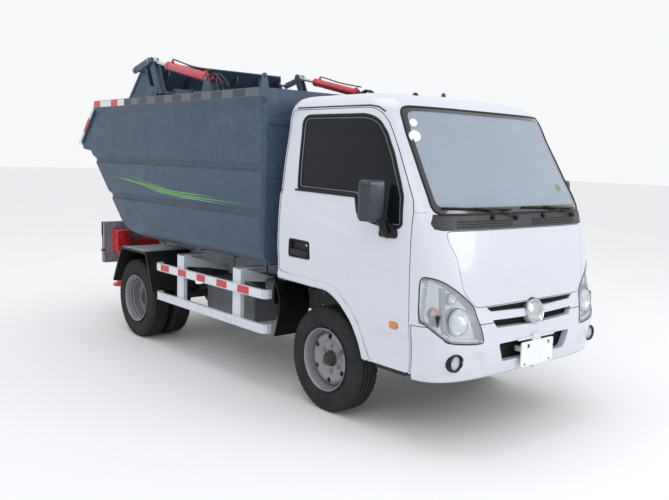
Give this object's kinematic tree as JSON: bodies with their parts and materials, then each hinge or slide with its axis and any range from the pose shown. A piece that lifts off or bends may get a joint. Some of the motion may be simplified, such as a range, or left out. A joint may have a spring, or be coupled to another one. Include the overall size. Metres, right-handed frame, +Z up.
{
  "type": "garbage truck",
  "caption": "Small cab-over garbage truck with a boat-shaped tipping hopper, packing blade, stabiliser legs and twin rear tyres.",
  "frame": {"origin": "on the ground under the middle of the whole vehicle", "axes": "+Z up, +Y towards the rear, so the front is at -Y and the truck's right side at -X"},
  "size_m": [1.984, 4.4982, 2.3419],
  "materials": {
    "cab_paint": "gloss",
    "hopper_paint": "satin",
    "frame_paint": "satin",
    "running_gear": "satin",
    "guard_paint": "gloss",
    "black_plastic": "matte",
    "red_paint": "gloss",
    "rod_chrome": "polished",
    "wheel_silver": "satin",
    "tyre": "matte",
    "glass": "gloss",
    "lamp_lens": "gloss",
    "seat_cloth": "matte"
  },
  "bodies": {
    "chassis": {"chassis_frame": "frame_paint", "front_axle": "running_gear", "rear_axle": "running_gear", "drive_shaft": "running_gear", "engine_block": "running_gear", "fuel_tank": "frame_paint", "battery_box": "running_gear", "side_guard_right": "guard_paint", "side_guard_left": "guard_paint", "rear_mudguard_right": "black_plastic", "rear_mudguard_left": "black_plastic", "rear_panel": "frame_paint", "leg_beam": "red_paint", "cab_shell": "cab_paint", "bumper": "cab_paint", "headlight_right": "lamp_lens", "headlight_left": "lamp_lens", "windshield": "glass", "rear_window": "glass", "dashboard": "black_plastic", "bench_seat": "seat_cloth"},
    "door_right": {"door_right": "cab_paint", "door_glass_right": "glass", "mirror_right": "black_plastic"},
    "door_left": {"door_left": "cab_paint", "door_glass_left": "glass", "mirror_left": "black_plastic"},
    "front_lid": {"front_lid": "cab_paint"},
    "steering": {"steering_wheel": "black_plastic"},
    "knuckle_right": {"knuckle_right": "running_gear"},
    "knuckle_left": {"knuckle_left": "running_gear"},
    "front_wheel_right": {"front_wheel_right": "wheel_silver", "front_tyre_right": "tyre"},
    "front_wheel_left": {"front_wheel_left": "wheel_silver", "front_tyre_left": "tyre"},
    "rear_wheels_right": {"rear_wheels_right": "wheel_silver", "rear_tyre_inner_right": "tyre", "rear_tyre_outer_right": "tyre"},
    "rear_wheels_left": {"rear_wheels_left": "wheel_silver", "rear_tyre_inner_left": "tyre", "rear_tyre_outer_left": "tyre"},
    "hopper": {"hopper": "hopper_paint"},
    "blade": {"packing_blade": "hopper_paint"},
    "rockers": {"rocker_shaft": "hopper_paint"},
    "links": {"link_right": "hopper_paint", "link_left": "hopper_paint"},
    "packer_barrels": {"packer_right_barrel": "red_paint", "packer_left_barrel": "red_paint"},
    "packer_rods": {"packer_right_rod": "rod_chrome", "packer_left_rod": "rod_chrome"},
    "lift_barrel": {"lift_barrel": "red_paint"},
    "lift_rod": {"lift_rod": "rod_chrome"},
    "leg_right": {"stabiliser_leg_right": "red_paint"},
    "leg_left": {"stabiliser_leg_left": "red_paint"}
  },
  "joints": [
    {"name": "steer_right", "type": "hinge", "parent": "chassis", "child": "knuckle_right", "pos_m": [-0.56, -1.245, 0.33], "axis": [0, 0, 1], "range_deg": [-30, 30]},
    {"name": "spin_front_right", "type": "hinge", "parent": "knuckle_right", "child": "front_wheel_right", "pos_m": [-0.688, -1.245, 0.33], "axis": [1, 0, 0], "continuous": true},
    {"name": "spin_rear_right", "type": "hinge", "parent": "chassis", "child": "rear_wheels_right", "pos_m": [-0.6465, 1.209, 0.33], "axis": [1, 0, 0], "continuous": true},
    {"name": "door_right_hinge", "type": "hinge", "parent": "chassis", "child": "door_right", "pos_m": [-0.812, -1.992, 1], "axis": [0, 0, 1], "range_deg": [0, 68]},
    {"name": "leg_right_slide", "type": "slide", "parent": "chassis", "child": "leg_right", "axis": [0, 0, -1], "range_m": [0, 0.32]},
    {"name": "steer_left", "type": "hinge", "parent": "chassis", "child": "knuckle_left", "pos_m": [0.56, -1.245, 0.33], "axis": [0, 0, 1], "range_deg": [-30, 30]},
    {"name": "spin_front_left", "type": "hinge", "parent": "knuckle_left", "child": "front_wheel_left", "pos_m": [0.688, -1.245, 0.33], "axis": [1, 0, 0], "continuous": true},
    {"name": "spin_rear_left", "type": "hinge", "parent": "chassis", "child": "rear_wheels_left", "pos_m": [0.6465, 1.209, 0.33], "axis": [1, 0, 0], "continuous": true},
    {"name": "door_left_hinge", "type": "hinge", "parent": "chassis", "child": "door_left", "pos_m": [0.812, -1.992, 1], "axis": [0, 0, -1], "range_deg": [0, 68]},
    {"name": "leg_left_slide", "type": "slide", "parent": "chassis", "child": "leg_left", "axis": [0, 0, -1], "range_m": [0, 0.32]},
    {"name": "steering_turn", "type": "hinge", "parent": "chassis", "child": "steering", "pos_m": [0.36, -1.61, 1.18], "axis": [0, 0.9023, 0.4311], "range_deg": [-480, 480]},
    {"name": "front_lid_hinge", "type": "hinge", "parent": "chassis", "child": "front_lid", "pos_m": [0, -2.117, 1.196], "axis": [-1, 0, 0], "range_deg": [0, 60]},
    {"name": "hopper_tip", "type": "hinge", "parent": "chassis", "child": "hopper", "pos_m": [0, 1.5, 0.83], "axis": [-1, 0, 0], "range_deg": [0, 45]},
    {"name": "lift_barrel_turn", "type": "hinge", "parent": "chassis", "child": "lift_barrel", "pos_m": [0, -0.15, 0.52], "axis": [1, 0, 0], "range_deg": [0, 21.8]},
    {"name": "lift_rod_slide", "type": "slide", "parent": "lift_barrel", "child": "lift_rod", "axis": [0, 0.9439, 0.3304], "range_m": [0, 0.514]},
    {"name": "packer_swing", "type": "hinge", "parent": "hopper", "child": "blade", "pos_m": [0, 1.163, 1.99], "axis": [-1, 0, 0], "range_deg": [0, 55]},
    {"name": "rocker_swing", "type": "hinge", "parent": "hopper", "child": "rockers", "pos_m": [0, 0.908, 2.05], "axis": [-1, 0, 0], "range_deg": [0, 55]},
    {"name": "link_turn", "type": "hinge", "parent": "rockers", "child": "links", "pos_m": [0, 1.03, 2.31], "axis": [1, 0, 0], "range_deg": [0, 55]},
    {"name": "packer_barrel_turn", "type": "hinge", "parent": "hopper", "child": "packer_barrels", "pos_m": [0, 0.153, 2.121], "axis": [-1, 0, 0], "range_deg": [0, 13.6]},
    {"name": "packer_rod_slide", "type": "slide", "parent": "packer_barrels", "child": "packer_rods", "axis": [0, 0.9776, 0.2107], "range_m": [0, 0.143]}
  ],
  "couplings": [
    {"joint": "steer_left", "follows": "steer_right", "ratio": 1},
    {"joint": "steering_turn", "follows": "steer_right", "ratio": 16},
    {"joint": "lift_barrel_turn", "follows": "hopper_tip", "ratio": 0.47991},
    {"joint": "lift_rod_slide", "follows": "hopper_tip", "m_per_rad": 0.6517},
    {"joint": "rocker_swing", "follows": "packer_swing", "ratio": 1},
    {"joint": "link_turn", "follows": "packer_swing", "ratio": 1},
    {"joint": "packer_barrel_turn", "follows": "packer_swing", "ratio": 0.243},
    {"joint": "packer_rod_slide", "follows": "packer_swing", "m_per_rad": 0.14694}
  ]
}
